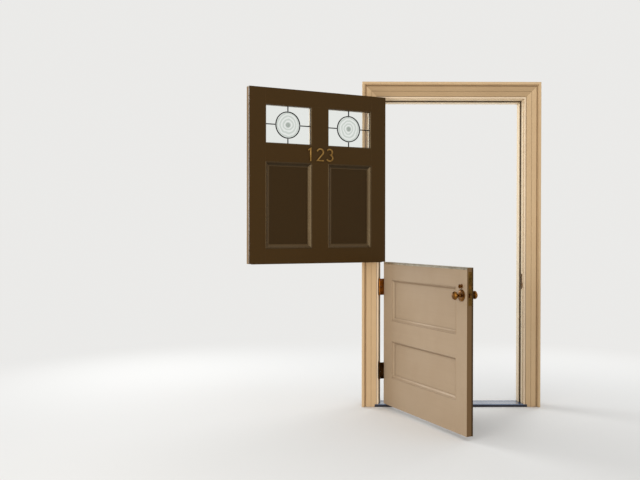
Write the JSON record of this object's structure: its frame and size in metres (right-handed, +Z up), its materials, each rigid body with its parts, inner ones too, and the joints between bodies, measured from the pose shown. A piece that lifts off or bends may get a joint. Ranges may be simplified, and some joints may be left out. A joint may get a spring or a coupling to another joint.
{
  "type": "dutch stable door with its frame",
  "caption": "Dutch door of two hinged leaves, the upper with leaded lights, hung in a cased and rabbeted frame.",
  "frame": {"origin": "on the threshold's underside at the middle of the opening, in the plane of the wall's room face", "axes": "+Z up, +Y from the room to the outdoors, +X from the hinge side to the strike side"},
  "size_m": [2.0244, 1.0937, 2.2854],
  "materials": {
    "jamb_paint": "satin cream paint on wood",
    "casing_paint": "satin cream paint on wood",
    "outside_paint": "satin cream paint on wood",
    "threshold_wood": "dark oiled hardwood with a sheen",
    "lower_leaf_paint": "satin greige paint towards the room, dark brown outside",
    "upper_leaf_paint": "dark brown paint outside, satin greige towards the room",
    "seal_rubber": "black rubber",
    "cap_metal": "satin bare metal",
    "glass": "clear hand-made glass with a slight wave",
    "lead": "dark tarnished lead",
    "hinge_brass": "aged brass",
    "lock_brass": "aged brass",
    "lock_steel": "plain steel"
  },
  "bodies": {
    "frame": {"jamb_hinge_side": "jamb_paint", "jamb_strike_side": "jamb_paint", "jamb_head": "jamb_paint", "threshold": "threshold_wood", "casing_left": "casing_paint", "casing_head": "casing_paint", "casing_right": "casing_paint", "back_band": "casing_paint", "brickmould": "outside_paint", "weatherstrip": "seal_rubber", "strike_plate": "lock_brass", "hinge_frame_leaf_lower_bottom": "hinge_brass", "hinge_frame_leaf_lower_top": "hinge_brass", "hinge_frame_leaf_upper_bottom": "hinge_brass", "hinge_frame_leaf_upper_top": "hinge_brass", "hinge_pins": "hinge_brass"},
    "lower_leaf": {"lower_hinge_stile": "lower_leaf_paint", "lower_lock_stile": "lower_leaf_paint", "lower_bottom_rail": "lower_leaf_paint", "lower_lock_rail": "lower_leaf_paint", "lower_top_rail": "lower_leaf_paint", "lower_panel_bottom": "lower_leaf_paint", "lower_panel_top": "lower_leaf_paint", "lower_mouldings_inside": "lower_leaf_paint", "lower_mouldings_outside": "lower_leaf_paint", "lower_cap": "cap_metal", "lock_case": "lock_steel", "lock_faceplate": "lock_brass", "rose_inside": "lock_brass", "rose_outside": "lock_brass", "thumb_plate": "lock_brass", "cylinder_outside": "lock_brass", "hinge_door_leaf_lower_bottom": "hinge_brass", "hinge_door_leaf_lower_top": "hinge_brass"},
    "upper_leaf": {"upper_hinge_stile": "upper_leaf_paint", "upper_lock_stile": "upper_leaf_paint", "upper_bottom_rail": "upper_leaf_paint", "upper_cross_rail": "upper_leaf_paint", "upper_top_rail": "upper_leaf_paint", "upper_muntins": "upper_leaf_paint", "upper_panel_hinge_side": "upper_leaf_paint", "upper_panel_lock_side": "upper_leaf_paint", "upper_mouldings_inside": "upper_leaf_paint", "upper_mouldings_outside": "upper_leaf_paint", "glass_hinge_side": "glass", "glass_lock_side": "glass", "cames_hinge_side": "lead", "cames_lock_side": "lead", "glazing_beads": "upper_leaf_paint", "flush_bolt_plate": "lock_brass", "meeting_seal": "seal_rubber", "hinge_door_leaf_upper_bottom": "hinge_brass", "hinge_door_leaf_upper_top": "hinge_brass"},
    "knobs": {"knob_inside": "lock_brass", "knob_outside": "lock_brass", "spindle": "lock_steel"},
    "latch": {"latch_bolt": "lock_brass"},
    "dead_bolt_body": {"dead_bolt": "lock_brass"},
    "thumb_turn_body": {"thumb_turn": "lock_brass"},
    "flush_bolt_body": {"flush_bolt": "lock_brass"}
  },
  "joints": [
    {"name": "upper_leaf_swing", "type": "hinge", "parent": "frame", "child": "upper_leaf", "pos_m": [-0.5045, -0.032, 1.558], "axis": [0, 0, -1], "range_deg": [-154, 21]},
    {"name": "lower_leaf_swing", "type": "hinge", "parent": "frame", "child": "lower_leaf", "pos_m": [-0.5045, -0.032, 0.553], "axis": [0, 0, -1], "range_deg": [-66, 109]},
    {"name": "knob_turn", "type": "hinge", "parent": "lower_leaf", "child": "knobs", "pos_m": [-0.06793, -0.87917, 0.855], "axis": [0.9135, 0.4067, 0], "range_deg": [0, 60], "stiffness_Nm_per_rad": 0.6},
    {"name": "latch_slide", "type": "slide", "parent": "lower_leaf", "child": "latch", "axis": [-0.4067, 0.9135, 0], "range_m": [0, 0.012]},
    {"name": "thumb_turn_swing", "type": "hinge", "parent": "lower_leaf", "child": "thumb_turn_body", "pos_m": [-0.09739, -0.89229, 0.909], "axis": [0.9135, 0.4067, 0], "range_deg": [0, 90]},
    {"name": "dead_bolt_slide", "type": "slide", "parent": "lower_leaf", "child": "dead_bolt_body", "axis": [0.4067, -0.9135, 0], "range_m": [0, 0.02]},
    {"name": "flush_bolt_slide", "type": "slide", "parent": "upper_leaf", "child": "flush_bolt_body", "axis": [0, 0, -1], "range_m": [0, 0.018]}
  ],
  "couplings": [
    {"joint": "latch_slide", "follows": "knob_turn", "m_per_rad": 0.011459},
    {"joint": "thumb_turn_swing", "follows": "dead_bolt_slide", "rad_per_m": 78.54}
  ]
}
